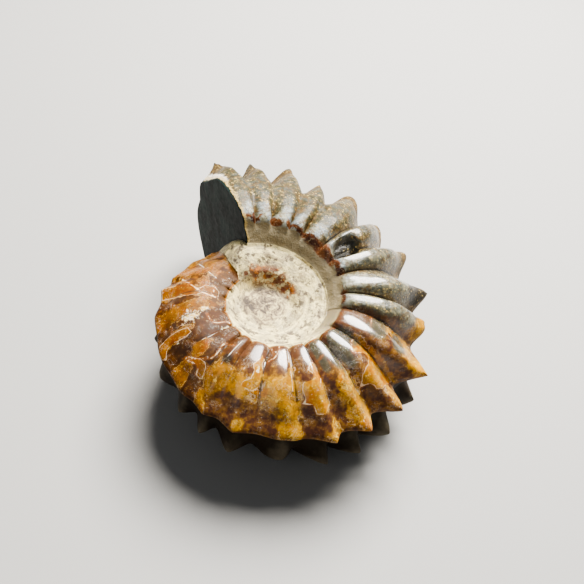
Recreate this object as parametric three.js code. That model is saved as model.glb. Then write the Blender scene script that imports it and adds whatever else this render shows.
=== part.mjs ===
// A fossil ammonite that lies on its lower flank. It formed as one piece and is one solid: the
// outermost whorl with its ribs and its two rows of tubercles, the matrix that fills the umbilicus on
// both sides, and the face of bare stone where the whorl is broken off, here called the mouth.
// Millimetres, +Z up. The origin is on the surface that it lies on, under the middle of its box.

import * as THREE from 'three';

// The coil. A whorl angle is counted back from the mouth, clockwise as seen from above, in degrees.
const REACH = 30; // from the coil's axis to a tubercle's tip, at the mouth
const GROWTH = 0.12; // the whorl shrinks by exp(-GROWTH) for each radian back
const MOUTH_AZIMUTH = 125; // direction of whorl angle 0, from +X towards +Y
const MOUTH_ANGLE = -2.5; // whorl angle of the broken face
const TURN = 360;

// How it lies: the coil's axis leans by LEAN degrees towards the direction LEAN_AZIMUTH.
const LEAN = 7.13;
const LEAN_AZIMUTH = 300.3;

// Ribs: the whorl angle of each crest, how far its tubercle reaches as a share of the radius, the
// whorl angle of the groove behind it, and how blunt the tubercle is.
const RIBS = [
  [-14, 1.0, -7, 1.3], [4, 1.02, 7, 0.9], [15, 1.02, 18.5, 1], [28, 1.05, 32, 1.7], [39, 1.0, 43, 1.1],
  [51, 1.04, 60, 2.4], [65, 0.97, 73.5, 1.8], [80, 0.99, 88, 2], [98.5, 1.01, 106, 1.4],
  [112, 0.955, 120.5, 2.4], [133.5, 1.045, 141.5, 1.2], [151, 1.045, 159.5, 1.4],
  [165, 1.035, 174.5, 1.3], [178.5, 1.03, 189, 1.3], [196, 0.975, 207, 1.8], [217, 1.01, 225, 1.5],
  [231, 0.995, 237.5, 1.5], [244, 0.98, 253, 1.5], [264, 0.975, 275, 1.8], [286, 0.985, 295, 1.3],
  [304, 1.01, 309, 1.4], [314, 0.99, 322, 1.4], [330, 0.98, 337, 1.4], [344, 0.98, 351, 1.3],
  [358, 1.0, 366, 1.3], [375, 1.0, 381, 1.3],
];
const RIB_ARCH = 2.5; // degrees by which a rib arches away from the mouth between rim and tubercle
const ARCH_FADE = 14; // degrees over which the mesh's columns straighten towards the mouth
const COLUMNS_IN_RIB = [0, 0.24, 0.5, 0.76]; // columns of the mesh from one crest to the next
const COLUMN_GAP = 1; // degrees that a column keeps from the mouth

// Half sections of the whorl as shares of its radius: distance from the axis, and height. They run
// from the seam, over the umbilical wall, rim, flank and tubercle, to the middle of the venter.
const UPPER_GROOVE = [
  [0.325, 0.255], [0.362, 0.305], [0.42, 0.332], [0.495, 0.345], [0.59, 0.336], [0.69, 0.296],
  [0.775, 0.225], [0.84, 0.158], [0.885, 0.105], [0.9, 0.05], [0.895, 0],
];
const UPPER_CREST = [
  [0.325, 0.255], [0.362, 0.315], [0.41, 0.366], [0.495, 0.385], [0.6, 0.387], [0.71, 0.363],
  [0.82, 0.3], [0.91, 0.217], [1, 0.148], [0.955, 0.075], [0.905, 0],
];
// The same groove where the upper flank is ground down and polished: it ends in an edge.
const POLISHED_GROOVE = [
  [0.325, 0.255], [0.362, 0.305], [0.42, 0.34], [0.495, 0.357], [0.59, 0.36], [0.69, 0.34],
  [0.79, 0.277], [0.88, 0.212], [0.965, 0.145], [0.915, 0.07], [0.895, 0],
];
const POLISHED_FROM = [140, 175]; // whorl angles over which the polished flank begins
const LOWER_GROOVE = [
  [0.325, 0.255], [0.362, 0.315], [0.425, 0.35], [0.5, 0.378], [0.6, 0.38], [0.7, 0.352],
  [0.79, 0.295], [0.86, 0.218], [0.893, 0.125], [0.9, 0.06], [0.895, 0],
];
const LOWER_CREST = [
  [0.325, 0.255], [0.362, 0.318], [0.415, 0.38], [0.505, 0.418], [0.615, 0.422], [0.73, 0.395],
  [0.84, 0.335], [0.94, 0.245], [1, 0.155], [0.965, 0.075], [0.905, 0],
];
const WALL = 1; // the places of the umbilical wall, rim, tubercle and venter in those lists
const RIM = 2;
const TUBERCLE = 8;
const VENTER = 10;
const RIM_ROUNDING = 3.2; // how broad the ribs are at the rim
const TILED = [50, 75, 145, 170]; // whorl angles over which the ribs become like roof tiles, and cease
const TILE_STEP = 0.8; // how much more steeply those drop off behind the crest than before it
const EVEN_TO = [40, 66]; // whorl angles over which the flank near the mouth stops being nearly even
const EVEN_PLACES = [2.4, 3.8, 4.8, 6.6]; // places over which it comes to be so, and ceases
const EVEN_SHARE = 0.65; // how nearly even it is
const EVEN_HEIGHT = 0.6; // how high it is there, from the groove to the crest
const GROUND_FROM = [222, 262]; // whorl angles over which the oldest ribs come to be ground off
const GROUND_PLACES = [1.7, 2.6, 5.6, 7.4]; // places over which they come to be so, and cease
const GROUND_SHARE = 0.85; // how nearly even they are, on the upper flank
// A rib's inner end has broken away on the upper flank: the hollow's middle and its half widths, in
// ribs and in places.
const HOLLOW = { number: 6.42, place: 3.05, acrossRibs: 0.46, alongRib: 1.1 };
const HOLLOW_DEPTH = 0.042 * REACH;
const HOLLOW_EDGE = 0.65; // share of the hollow's width at which its floor starts to rise
const HOLLOW_CORNERS = 3; // how square the hollow is: 2 is an ellipse
const TUBERCLE_SPREAD = 1.3; // places over which a longer tubercle pulls the crest out
const VENTER_FADE = 0.55; // share by which the ribs sink where they cross the venter
const WHORL_ROWS = [0, 0.06, 0.12, 0.17, 0.22, 0.3, 0.42, 0.54, 0.65, 0.73, 0.8, 0.87, 1]; // to the venter

// The matrix in the umbilicus, as shares of the radius: distance from the axis, and height.
const MATRIX = [
  [0, 0.19], [0.15, 0.195], [0.205, 0.208], [0.24, 0.223], [0.27, 0.238], [0.3, 0.247],
  [0.325, 0.25], [0.36, 0.24], [0.416, 0.185], [0.47, 0.11], [0.55, -0.1], [1, -0.3],
];
const MATRIX_EDGE = 0.325; // share of the radius at which the matrix meets the whorl
const BOWL_MIDDLE = [-0.03 * REACH, 0.01 * REACH]; // a bowl is worn into the matrix, off the axis
const BOWL_RADIUS = [0.11 * REACH, 0.18 * REACH]; // its wall runs from the first to the second
const UPPER_FLOOR = 0.13 * REACH; // height of the bowl's floor
const LOWER_FLOOR = 0.06 * REACH; // the same below, where the matrix is thinner
const BLEND = 0.015 * REACH; // how softly the matrix meets its floor and the whorl
const RUN_OUT = [316, 357.5]; // whorl angles over which the matrix spreads out onto the whorl
const MATRIX_ROWS = [0.18, 0.34, 0.42, 0.5, 0.58, 0.67, 0.77, 0.88]; // axis to seam

// Along a rib number, crests are whole numbers and grooves lie half way between them.
const RIB_NUMBERS = RIBS.flatMap(([crest, , groove], number) => [[crest, number], [groove, number + 0.5]]);
const REACHES = RIBS.map(([, reach], number) => [number, reach]);
const BLUNTNESSES = RIBS.map(([, , , bluntness], number) => [number, bluntness]);
const STONE = new THREE.MeshStandardMaterial({ color: 0x8a5a24, roughness: 0.35, metalness: 0 });

const UPPER = {
  groove: curveThrough(UPPER_GROOVE),
  polished: curveThrough(POLISHED_GROOVE),
  crest: curveThrough(UPPER_CREST),
  placeByAcross: placesOf(UPPER_GROOVE),
  floor: UPPER_FLOOR,
  sign: 1,
  hollow: HOLLOW_DEPTH,
  ground: GROUND_SHARE,
};
const LOWER = {
  groove: curveThrough(LOWER_GROOVE),
  polished: curveThrough(LOWER_GROOVE),
  crest: curveThrough(LOWER_CREST),
  placeByAcross: placesOf(LOWER_GROOVE),
  floor: LOWER_FLOOR,
  sign: -1,
  hollow: 0,
  ground: 0,
};

function curveThrough(points) {
  return new THREE.SplineCurve(points.map(([across, up]) => new THREE.Vector2(across, up)));
}

/** For each point of a half section, its distance from the axis and its place in the list. */
function placesOf(points) {
  return points.map(([across], place) => [across, place]);
}

/** Height of a broken line at a given place along it. */
function heightAlong(line, place) {
  const next = line.findIndex(([at]) => at > place);
  if (next < 0) return line[line.length - 1][1];
  if (next === 0) return line[0][1];
  const [[from, low], [to, high]] = [line[next - 1], line[next]];
  return THREE.MathUtils.mapLinear(place, from, to, low, high);
}

/** The larger of two heights, rounded where they cross. */
function softMax(first, second) {
  return BLEND * Math.log(Math.exp(first / BLEND) + Math.exp(second / BLEND));
}

function whorlRadius(angle) {
  return REACH * Math.exp(-GROWTH * THREE.MathUtils.degToRad(angle));
}

/** The radius that the matrix follows: near the end of the turn it widens to that of the next. */
function matrixRadius(angle) {
  const share = THREE.MathUtils.smoothstep(angle, ...RUN_OUT);
  return THREE.MathUtils.lerp(whorlRadius(angle), whorlRadius(angle - TURN), share);
}

/** Height of the matrix's plateau and of its slope out onto the whorl. */
function matrixHeight(across, angle) {
  const radius = matrixRadius(angle);
  return heightAlong(MATRIX, across / radius) * radius;
}

/** Height of the matrix with its bowl. */
function bowlHeight(across, angle, side) {
  const azimuth = THREE.MathUtils.degToRad(MOUTH_AZIMUTH - angle);
  const east = across * Math.cos(azimuth) - BOWL_MIDDLE[0];
  const north = across * Math.sin(azimuth) - BOWL_MIDDLE[1];
  const outside = THREE.MathUtils.smoothstep(Math.hypot(east, north), ...BOWL_RADIUS);
  const plateau = softMax(matrixHeight(across, angle), side.floor);
  return THREE.MathUtils.lerp(side.floor, plateau, outside);
}

/** Share of the way from the rim to the tubercle. */
function outwardAt(place) {
  return THREE.MathUtils.clamp((place - RIM) / (TUBERCLE - RIM), 0, 1);
}

/** Degrees by which a rib, at this place in the section, lies further from the mouth. */
function archAt(place) {
  return RIB_ARCH * Math.sin(Math.PI * outwardAt(place));
}

/** Share of the way from the tubercle to the middle of the venter. */
function ventralAt(place) {
  return THREE.MathUtils.clamp((place - TUBERCLE) / (VENTER - TUBERCLE), 0, 1);
}

/** 1 between the two middle places, falling to 0 at the outer ones. */
function between(places, place) {
  return THREE.MathUtils.smoothstep(place, places[0], places[1])
    * (1 - THREE.MathUtils.smoothstep(place, places[2], places[3]));
}

/** How much of a rib's height there is at a point of the whorl, from 0 in a groove to 1. */
function ribHeight(angle, number, place, side) {
  const behindCrest = 2 * (number - Math.round(number));
  const outward = outwardAt(place);
  const tiled = THREE.MathUtils.smoothstep(angle, TILED[0], TILED[1])
    - THREE.MathUtils.smoothstep(angle, TILED[2], TILED[3]);
  // A tile's flank is broad before the crest and falls away steeply behind it.
  const rimRounding = RIM_ROUNDING * 2 ** (TILE_STEP * tiled * Math.sign(behindCrest));
  const rounding = THREE.MathUtils.lerp(rimRounding, heightAlong(BLUNTNESSES, number), outward);
  const rounded = (1 - Math.abs(behindCrest) ** rounding) ** (1 + outward);
  const even = EVEN_SHARE * (1 - THREE.MathUtils.smoothstep(angle, ...EVEN_TO)) * between(EVEN_PLACES, place);
  const ground = side.ground * THREE.MathUtils.smoothstep(angle, ...GROUND_FROM)
    * between(GROUND_PLACES, place);
  const ending = THREE.MathUtils.smoothstep(place, WALL, RIM) * (1 - VENTER_FADE * ventralAt(place));
  return THREE.MathUtils.lerp(rounded, EVEN_HEIGHT, even + ground) * ending;
}

/** Share of the hollow's depth at a point of the upper flank. */
function hollowAt(number, place) {
  const across = Math.abs(number - HOLLOW.number) / HOLLOW.acrossRibs;
  const along = Math.abs(place - HOLLOW.place) / HOLLOW.alongRib;
  const away = (across ** HOLLOW_CORNERS + along ** HOLLOW_CORNERS) ** (1 / HOLLOW_CORNERS);
  return 1 - THREE.MathUtils.smoothstep(away, HOLLOW_EDGE, 1);
}

/** A point of the whorl's section in millimetres: distance from the axis, and height. */
function sectionPoint(angle, place, side) {
  const number = heightAlong(RIB_NUMBERS, angle - archAt(place));
  const polish = THREE.MathUtils.smoothstep(angle, ...POLISHED_FROM);
  const polished = side.polished.getPoint(place / VENTER);
  const groove = side.groove.getPoint(place / VENTER).lerp(polished, polish);
  const crest = side.crest.getPoint(place / VENTER);
  const height = ribHeight(angle, number, place, side);
  const longer = heightAlong(REACHES, number) - 1;
  crest.x += longer * Math.exp(-(((place - TUBERCLE) / TUBERCLE_SPREAD) ** 2));
  const point = groove.lerp(crest, height).multiplyScalar(whorlRadius(angle));
  point.y -= side.hollow * hollowAt(number, place);
  // The matrix lies on the flank alone: on the venter it is far below the surface.
  const matrix = matrixHeight(point.x, angle) - REACH * ventralAt(place);
  point.y = softMax(point.y, matrix);
  return point;
}

/** Whorl angles of the mesh's columns: they follow the ribs, from the mouth round to it again. */
function columnAngles() {
  const last = MOUTH_ANGLE + TURN;
  const angleAlong = RIB_NUMBERS.map(([angle, number]) => [number, angle]);
  const angles = RIBS.flatMap((rib, number) =>
    COLUMNS_IN_RIB.map((share) => heightAlong(angleAlong, number + share)));
  const inside = angles.filter((angle) => angle > MOUTH_ANGLE + COLUMN_GAP && angle < last - COLUMN_GAP);
  return [MOUTH_ANGLE, ...inside, last];
}

/** The points of one column, from the edge of the matrix to the venter, then those of the matrix. */
function columnPoints(columnAngle, side) {
  const toMouth = Math.min(columnAngle - MOUTH_ANGLE, MOUTH_ANGLE + TURN - columnAngle);
  const bend = THREE.MathUtils.smoothstep(toMouth, 0, ARCH_FADE);
  const edgeShare = (MATRIX_EDGE * matrixRadius(columnAngle)) / whorlRadius(columnAngle);
  const edgePlace = heightAlong(side.placeByAcross, edgeShare);
  const whorl = WHORL_ROWS.map((share) => {
    const place = THREE.MathUtils.lerp(edgePlace, VENTER, share);
    const angle = columnAngle + archAt(place) * bend;
    return { angle, point: sectionPoint(angle, place, side) };
  });
  const edge = whorl[0];
  const matrix = MATRIX_ROWS.map((share) => {
    const across = share * edge.point.x;
    return { angle: edge.angle, point: new THREE.Vector2(across, bowlHeight(across, edge.angle, side)) };
  });
  return { whorl, matrix };
}

/** The whole surface, closed over the mouth and at the axis on both sides. */
function ammoniteGeometry() {
  const positions = [];
  const triangles = [];

  function addVertex({ angle, point }, side) {
    const azimuth = THREE.MathUtils.degToRad(MOUTH_AZIMUTH - angle);
    positions.push(point.x * Math.cos(azimuth), point.x * Math.sin(azimuth), point.y * side.sign);
    return positions.length / 3 - 1;
  }

  function addFace(corners, side) {
    const [a, b, c, d] = side.sign > 0 ? corners : [...corners].reverse();
    if (a !== b && b !== c) triangles.push(a, b, c);
    if (c !== d && d !== a) triangles.push(a, c, d);
  }

  let venters;
  for (const side of [UPPER, LOWER]) {
    const pole = addVertex({ angle: 0, point: new THREE.Vector2(0, side.floor) }, side);
    const columns = [];
    for (const columnAngle of columnAngles()) {
      const { whorl, matrix } = columnPoints(columnAngle, side);
      const closing = columnAngle === MOUTH_ANGLE + TURN;
      const inner = closing
        ? columns[0].slice(1, MATRIX_ROWS.length + 2)
        : [...matrix, whorl[0]].map((vertex) => addVertex(vertex, side));
      const outer = whorl.slice(1, -1).map((vertex) => addVertex(vertex, side));
      const venter = venters?.[columns.length] ?? addVertex(whorl.at(-1), side);
      columns.push([pole, ...inner, ...outer, venter]);
    }
    venters = columns.map((column) => column.at(-1));

    columns.slice(1).forEach((column, number) => {
      const before = columns[number];
      for (let row = 1; row < column.length; row += 1) {
        addFace([before[row - 1], column[row - 1], column[row], before[row]], side);
      }
    });
    const [atMouth, turnBefore] = [columns[0], columns.at(-1)];
    for (let row = MATRIX_ROWS.length + 2; row < atMouth.length; row += 1) {
      addFace([atMouth[row - 1], atMouth[row], turnBefore[row], turnBefore[row - 1]], side);
    }
  }

  const geometry = new THREE.BufferGeometry();
  geometry.setAttribute('position', new THREE.Float32BufferAttribute(positions, 3));
  geometry.setIndex(triangles);
  geometry.computeVertexNormals();
  return geometry;
}

const ammonite = new THREE.Mesh(ammoniteGeometry(), STONE);
ammonite.name = 'ammonite';

// Lean the coil, then stand its box on the origin.
const leanAzimuth = THREE.MathUtils.degToRad(LEAN_AZIMUTH);
const hinge = new THREE.Vector3(-Math.sin(leanAzimuth), Math.cos(leanAzimuth), 0);
ammonite.quaternion.setFromAxisAngle(hinge, THREE.MathUtils.degToRad(LEAN));
const box = new THREE.Box3().setFromObject(ammonite, true);
const middle = box.getCenter(new THREE.Vector3());
ammonite.position.set(-middle.x, -middle.y, -box.min.z);

const group = new THREE.Group();
group.add(ammonite);

export default group;
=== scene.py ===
# A polished fossil ammonite lies on its side on a pale table, in soft studio light.
# Metres, +Z up, in the same frame as the solid model.

import math

import bmesh
import bpy
import numpy as np
from mathutils import Matrix, Vector, noise


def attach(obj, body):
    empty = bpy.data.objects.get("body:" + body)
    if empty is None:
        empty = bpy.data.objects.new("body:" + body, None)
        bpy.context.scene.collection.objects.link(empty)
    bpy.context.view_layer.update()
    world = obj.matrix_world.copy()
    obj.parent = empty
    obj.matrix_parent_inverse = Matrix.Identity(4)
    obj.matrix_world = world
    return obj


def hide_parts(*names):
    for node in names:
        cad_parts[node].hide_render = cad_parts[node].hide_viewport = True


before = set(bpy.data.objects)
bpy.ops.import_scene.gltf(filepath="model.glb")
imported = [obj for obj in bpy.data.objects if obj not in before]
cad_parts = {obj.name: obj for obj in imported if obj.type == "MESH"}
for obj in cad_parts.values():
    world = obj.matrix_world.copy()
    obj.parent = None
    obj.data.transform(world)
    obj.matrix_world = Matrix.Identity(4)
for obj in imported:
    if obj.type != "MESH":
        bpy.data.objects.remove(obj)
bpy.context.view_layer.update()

# ---------------------------------------------------------------------------------------------
# The coil. The shell grew in a flat spiral round an axis. The axis leans a little, because the
# fossil lies on the tubercles of its lower flank. Whorl angles are counted in degrees, back from
# the broken mouth and clockwise as seen from above.

REACH = 0.030  # from the coil's axis to a tubercle's tip, at the mouth
GROWTH = 0.12  # the whorl shrinks by exp(-GROWTH) for each radian back
MOUTH_AZIMUTH = 125  # direction of whorl angle 0, from +X towards +Y
MOUTH_ANGLE = -2.5  # whorl angle of the broken face
TURN = 360
LEAN = 7.13  # degrees by which the axis leans
LEAN_AZIMUTH = 300.3  # the direction in which it leans
SEAT = Vector((-0.00334, -0.005178, 0.010562))  # where the coil's middle comes to lie

lean_hinge = Vector((-math.sin(math.radians(LEAN_AZIMUTH)), math.cos(math.radians(LEAN_AZIMUTH)), 0))
coil_to_table = Matrix.Translation(SEAT) @ Matrix.Rotation(math.radians(LEAN), 4, lean_hinge)


# ---------------------------------------------------------------------------------------------
# The camera stands in front of the fossil and looks down on its polished flank. Its place is
# given from the coil, so it keeps the same view of the ribs however the coil leans.

CAMERA_DOWN = 50.995  # degrees between the coil's plane and the line of sight
CAMERA_ROLL = -14.815  # degrees
CAMERA_OFFSET = (-0.118, -0.169, -3.494)  # the coil's middle as the camera sees it, in reaches
CAMERA_LENS = 44.28  # millimetres
CAMERA_NEAREST = 0.005

to_camera = Matrix.Rotation(math.radians(-CAMERA_ROLL), 3, "Z").inverted()
to_camera = to_camera @ Matrix.Rotation(math.radians(CAMERA_DOWN - 90), 3, "X")
camera_turn = to_camera.inverted().to_4x4()
camera_place = -(camera_turn @ (Vector(CAMERA_OFFSET) * REACH))

camera_data = bpy.data.cameras.new("camera")
camera_data.lens = CAMERA_LENS
camera_data.clip_start = CAMERA_NEAREST
camera = bpy.data.objects.new("camera", camera_data)
camera.matrix_world = coil_to_table @ Matrix.Translation(camera_place) @ camera_turn
bpy.context.scene.collection.objects.link(camera)
bpy.context.scene.camera = camera
bpy.context.scene.view_settings.look = "AgX - Medium High Contrast"


# ---------------------------------------------------------------------------------------------
# The fossil: one stone, made of the last whorl with its ribs and two rows of tubercles, and the
# matrix that fills the umbilicus on both sides. It is shell and calcite that formed as one piece,
# broken off at the mouth, and ground and polished on its upper flank.

# For each rib: the whorl angle of its crest, how far its tubercle reaches as a share of the
# radius, the whorl angle of the groove behind it, and how blunt the tubercle is.
RIBS = [
    (-14, 1.0, -7, 1.3), (4, 1.02, 7, 0.9), (15, 1.02, 18.5, 1), (28, 1.05, 32, 1.7),
    (39, 1.0, 43, 1.1), (51, 1.04, 60, 2.4), (65, 0.97, 73.5, 1.8), (80, 0.99, 88, 2),
    (98.5, 1.01, 106, 1.4), (112, 0.955, 120.5, 2.4), (133.5, 1.045, 141.5, 1.2),
    (151, 1.045, 159.5, 1.4), (165, 1.035, 174.5, 1.3), (178.5, 1.03, 189, 1.3),
    (196, 0.975, 207, 1.8), (217, 1.01, 225, 1.5), (231, 0.995, 237.5, 1.5), (244, 0.98, 253, 1.5),
    (264, 0.975, 275, 1.8), (286, 0.985, 295, 1.3), (304, 1.01, 309, 1.4), (314, 0.99, 322, 1.4),
    (330, 0.98, 337, 1.4), (344, 0.98, 351, 1.3), (358, 1.0, 366, 1.3), (375, 1.0, 381, 1.3),
]
CRESTS, REACHES, GROOVES, BLUNTNESSES = np.array(RIBS).T
RIB_ARCH = 2.5  # degrees by which a rib arches away from the mouth between rim and tubercle
ARCH_FADE = 14  # degrees over which the mesh's columns straighten towards the mouth
COLUMNS_IN_RIB = 18

# Half sections of the whorl as shares of its radius: distance from the axis, and height. They run
# from the seam, over the umbilical wall, rim, flank and tubercle, to the middle of the venter.
UPPER_GROOVE = [
    (0.325, 0.255), (0.362, 0.305), (0.42, 0.332), (0.495, 0.345), (0.59, 0.336), (0.69, 0.296),
    (0.775, 0.225), (0.84, 0.158), (0.885, 0.105), (0.9, 0.05), (0.895, 0),
]
UPPER_CREST = [
    (0.325, 0.255), (0.362, 0.315), (0.41, 0.366), (0.495, 0.385), (0.6, 0.387), (0.71, 0.363),
    (0.82, 0.3), (0.91, 0.217), (1, 0.148), (0.955, 0.075), (0.905, 0),
]
# The same groove where the upper flank is ground down and polished: it ends in an edge.
POLISHED_GROOVE = [
    (0.325, 0.255), (0.362, 0.305), (0.42, 0.34), (0.495, 0.357), (0.59, 0.36), (0.69, 0.34),
    (0.79, 0.277), (0.88, 0.212), (0.965, 0.145), (0.915, 0.07), (0.895, 0),
]
POLISHED_FROM = (140, 175)  # whorl angles over which the polished flank begins
LOWER_GROOVE = [
    (0.325, 0.255), (0.362, 0.315), (0.425, 0.35), (0.5, 0.378), (0.6, 0.38), (0.7, 0.352),
    (0.79, 0.295), (0.86, 0.218), (0.893, 0.125), (0.9, 0.06), (0.895, 0),
]
LOWER_CREST = [
    (0.325, 0.255), (0.362, 0.318), (0.415, 0.38), (0.505, 0.418), (0.615, 0.422), (0.73, 0.395),
    (0.84, 0.335), (0.94, 0.245), (1, 0.155), (0.965, 0.075), (0.905, 0),
]
WALL = 1  # the places of the umbilical wall, rim, tubercle and venter in those lists
RIM = 2
TUBERCLE = 8
VENTER = 10
RIM_ROUNDING = 3.2  # how broad the ribs are at the rim
TILED = (50, 75, 145, 170)  # whorl angles over which the ribs become like roof tiles, and cease
TILE_STEP = 0.8  # how much more steeply those drop off behind the crest than before it
EVEN_TO = (40, 66)  # whorl angles over which the flank near the mouth stops being nearly even
EVEN_PLACES = (2.4, 3.8, 4.8, 6.6)  # places over which it comes to be so, and ceases
EVEN_SHARE = 0.65  # how nearly even it is
EVEN_HEIGHT = 0.6  # how high it is there, from the groove to the crest
GROUND_FROM = (222, 262)  # whorl angles over which the oldest ribs come to be ground off
GROUND_PLACES = (1.7, 2.6, 5.6, 7.4)  # places over which they come to be so, and cease
GROUND_SHARE = 0.85  # how nearly even they are, on the upper flank
# A rib's inner end has broken away on the upper flank: the hollow's middle and its half widths,
# in ribs and in places.
HOLLOW_NUMBER = 6.42
HOLLOW_PLACE = 3.05
HOLLOW_ACROSS = 0.46
HOLLOW_ALONG = 1.1
HOLLOW_DEPTH = 0.042 * REACH
HOLLOW_EDGE = 0.65  # share of the hollow's width at which its floor starts to rise
HOLLOW_CORNERS = 3  # how square the hollow is: 2 is an ellipse
TUBERCLE_SPREAD = 1.3  # places over which a longer tubercle pulls the crest out
VENTER_FADE = 0.55  # share by which the ribs sink where they cross the venter

# The matrix in the umbilicus, as shares of the radius: distance from the axis, and height.
MATRIX = [
    (0, 0.19), (0.15, 0.195), (0.205, 0.208), (0.24, 0.223), (0.27, 0.238), (0.3, 0.247),
    (0.325, 0.25), (0.36, 0.24), (0.416, 0.185), (0.47, 0.11), (0.55, -0.1), (1, -0.3),
]
MATRIX_EDGE = 0.325  # share of the radius at which the matrix meets the whorl
BOWL_MIDDLE = (-0.03 * REACH, 0.01 * REACH)  # a bowl is worn into the matrix, off the axis
BOWL_RADIUS = (0.11 * REACH, 0.18 * REACH)  # its wall runs from the first to the second
UPPER_FLOOR = 0.13 * REACH  # height of the bowl's floor
LOWER_FLOOR = 0.06 * REACH  # the same below, where the matrix is thinner
BLEND = 0.015 * REACH  # how softly the matrix meets its floor and the whorl
RUN_OUT = (316, 357.5)  # whorl angles over which the matrix spreads out onto the whorl


def smoothstep(low, high, values):
    share = np.clip((values - low) / (high - low), 0, 1)
    return share * share * (3 - 2 * share)


def along_curve(points, place):
    """Smooth curve through points that are one unit of place apart."""
    points = np.array(points, float)
    first = np.clip(np.floor(place).astype(int), 0, len(points) - 2)
    share = (place - first)[:, None]
    before, start, end, after = (
        points[np.clip(first + step, 0, len(points) - 1)] for step in (-1, 0, 1, 2)
    )
    return 0.5 * (
        2 * start
        + (end - before) * share
        + (2 * before - 5 * start + 4 * end - after) * share**2
        + (3 * start - before - 3 * end + after) * share**3
    )


# Along a rib number, crests are whole numbers and grooves lie half way between them.
stop_angles = np.stack([CRESTS, GROOVES], axis=1).ravel()
stop_numbers = np.arange(len(stop_angles)) / 2


def whorl_radius(angle):
    return REACH * np.exp(-GROWTH * np.radians(angle))


def matrix_radius(angle):
    """The radius that the matrix follows: it widens to that of the next turn near the end."""
    share = smoothstep(*RUN_OUT, angle)
    return whorl_radius(angle) * (1 - share) + whorl_radius(angle - TURN) * share


def matrix_height(across, angle):
    radius = matrix_radius(angle)
    line = np.array(MATRIX)
    return np.interp(across / radius, line[:, 0], line[:, 1]) * radius


def bowl_height(across, angle, floor):
    """Height of the matrix with its bowl."""
    azimuth = np.radians(MOUTH_AZIMUTH - angle)
    east = across * np.cos(azimuth) - BOWL_MIDDLE[0]
    north = across * np.sin(azimuth) - BOWL_MIDDLE[1]
    outside = smoothstep(*BOWL_RADIUS, np.hypot(east, north))
    plateau = BLEND * np.logaddexp(matrix_height(across, angle) / BLEND, floor / BLEND)
    return floor * (1 - outside) + plateau * outside


def outward_at(place):
    """Share of the way from the rim to the tubercle."""
    return np.clip((place - RIM) / (TUBERCLE - RIM), 0, 1)


def ventral_at(place):
    """Share of the way from the tubercle to the middle of the venter."""
    return np.clip((place - TUBERCLE) / (VENTER - TUBERCLE), 0, 1)


def arch_at(place):
    """Degrees by which a rib, at this place, lies further from the mouth."""
    return RIB_ARCH * np.sin(np.pi * outward_at(place))


def rib_number(angle):
    return np.interp(angle, stop_angles, stop_numbers)


def between(places, place):
    """1 between the two middle places, falling to 0 at the outer ones."""
    return smoothstep(*places[:2], place) * (1 - smoothstep(*places[2:], place))


def rib_height(angle, number, place, flank):
    """How much of a rib's height there is at a point of the whorl, from 0 in a groove to 1."""
    behind_crest = 2 * (number - np.round(number))
    outward = outward_at(place)
    tiled = smoothstep(*TILED[:2], angle) - smoothstep(*TILED[2:], angle)
    rim_rounding = RIM_ROUNDING * 2 ** (TILE_STEP * tiled * np.sign(behind_crest))
    bluntness = np.interp(number, np.arange(len(RIBS)), BLUNTNESSES)
    rounding = rim_rounding + (bluntness - rim_rounding) * outward
    rounded = (1 - np.abs(behind_crest) ** rounding) ** (1 + outward)
    even = EVEN_SHARE * (1 - smoothstep(*EVEN_TO, angle)) * between(EVEN_PLACES, place)
    ground = flank["ground"] * smoothstep(*GROUND_FROM, angle) * between(GROUND_PLACES, place)
    rounded = rounded + (EVEN_HEIGHT - rounded) * (even + ground)
    return rounded * smoothstep(WALL, RIM, place) * (1 - VENTER_FADE * ventral_at(place))


def hollow_at(number, place):
    """Share of the hollow's depth, where a rib's inner end has broken away."""
    across = np.abs(number - HOLLOW_NUMBER) / HOLLOW_ACROSS
    along = np.abs(place - HOLLOW_PLACE) / HOLLOW_ALONG
    away = (across**HOLLOW_CORNERS + along**HOLLOW_CORNERS) ** (1 / HOLLOW_CORNERS)
    return 1 - smoothstep(HOLLOW_EDGE, 1, away)


def section(angle, place, flank):
    """Distance from the axis and height of points of the whorl, and what lies there."""
    number = rib_number(angle - arch_at(place))
    height = rib_height(angle, number, place, flank)
    polish = smoothstep(*POLISHED_FROM, angle)[:, None]
    low = along_curve(flank["groove"], place) * (1 - polish)
    low = low + along_curve(flank["polished"], place) * polish
    high = along_curve(flank["crest"], place)
    longer = np.interp(number, np.arange(len(RIBS)), REACHES) - 1
    high[:, 0] += longer * np.exp(-(((place - TUBERCLE) / TUBERCLE_SPREAD) ** 2))
    point = (low + (high - low) * height[:, None]) * whorl_radius(angle)[:, None]
    point[:, 1] -= flank["hollow"] * hollow_at(number, place)
    matrix = matrix_height(point[:, 0], angle) - REACH * ventral_at(place)
    covered = 1 / (1 + np.exp(np.clip((point[:, 1] - matrix) / BLEND, -50, 50)))
    point[:, 1] = BLEND * np.logaddexp(point[:, 1] / BLEND, matrix / BLEND)
    return point[:, 0], point[:, 1], number, height, covered


def spaced(stops, counts):
    """Row places that are evenly spaced between the stops."""
    rows = [np.linspace(a, b, n, endpoint=False) for a, b, n in zip(stops, stops[1:], counts)]
    return np.concatenate(rows + [[stops[-1]]])


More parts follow.
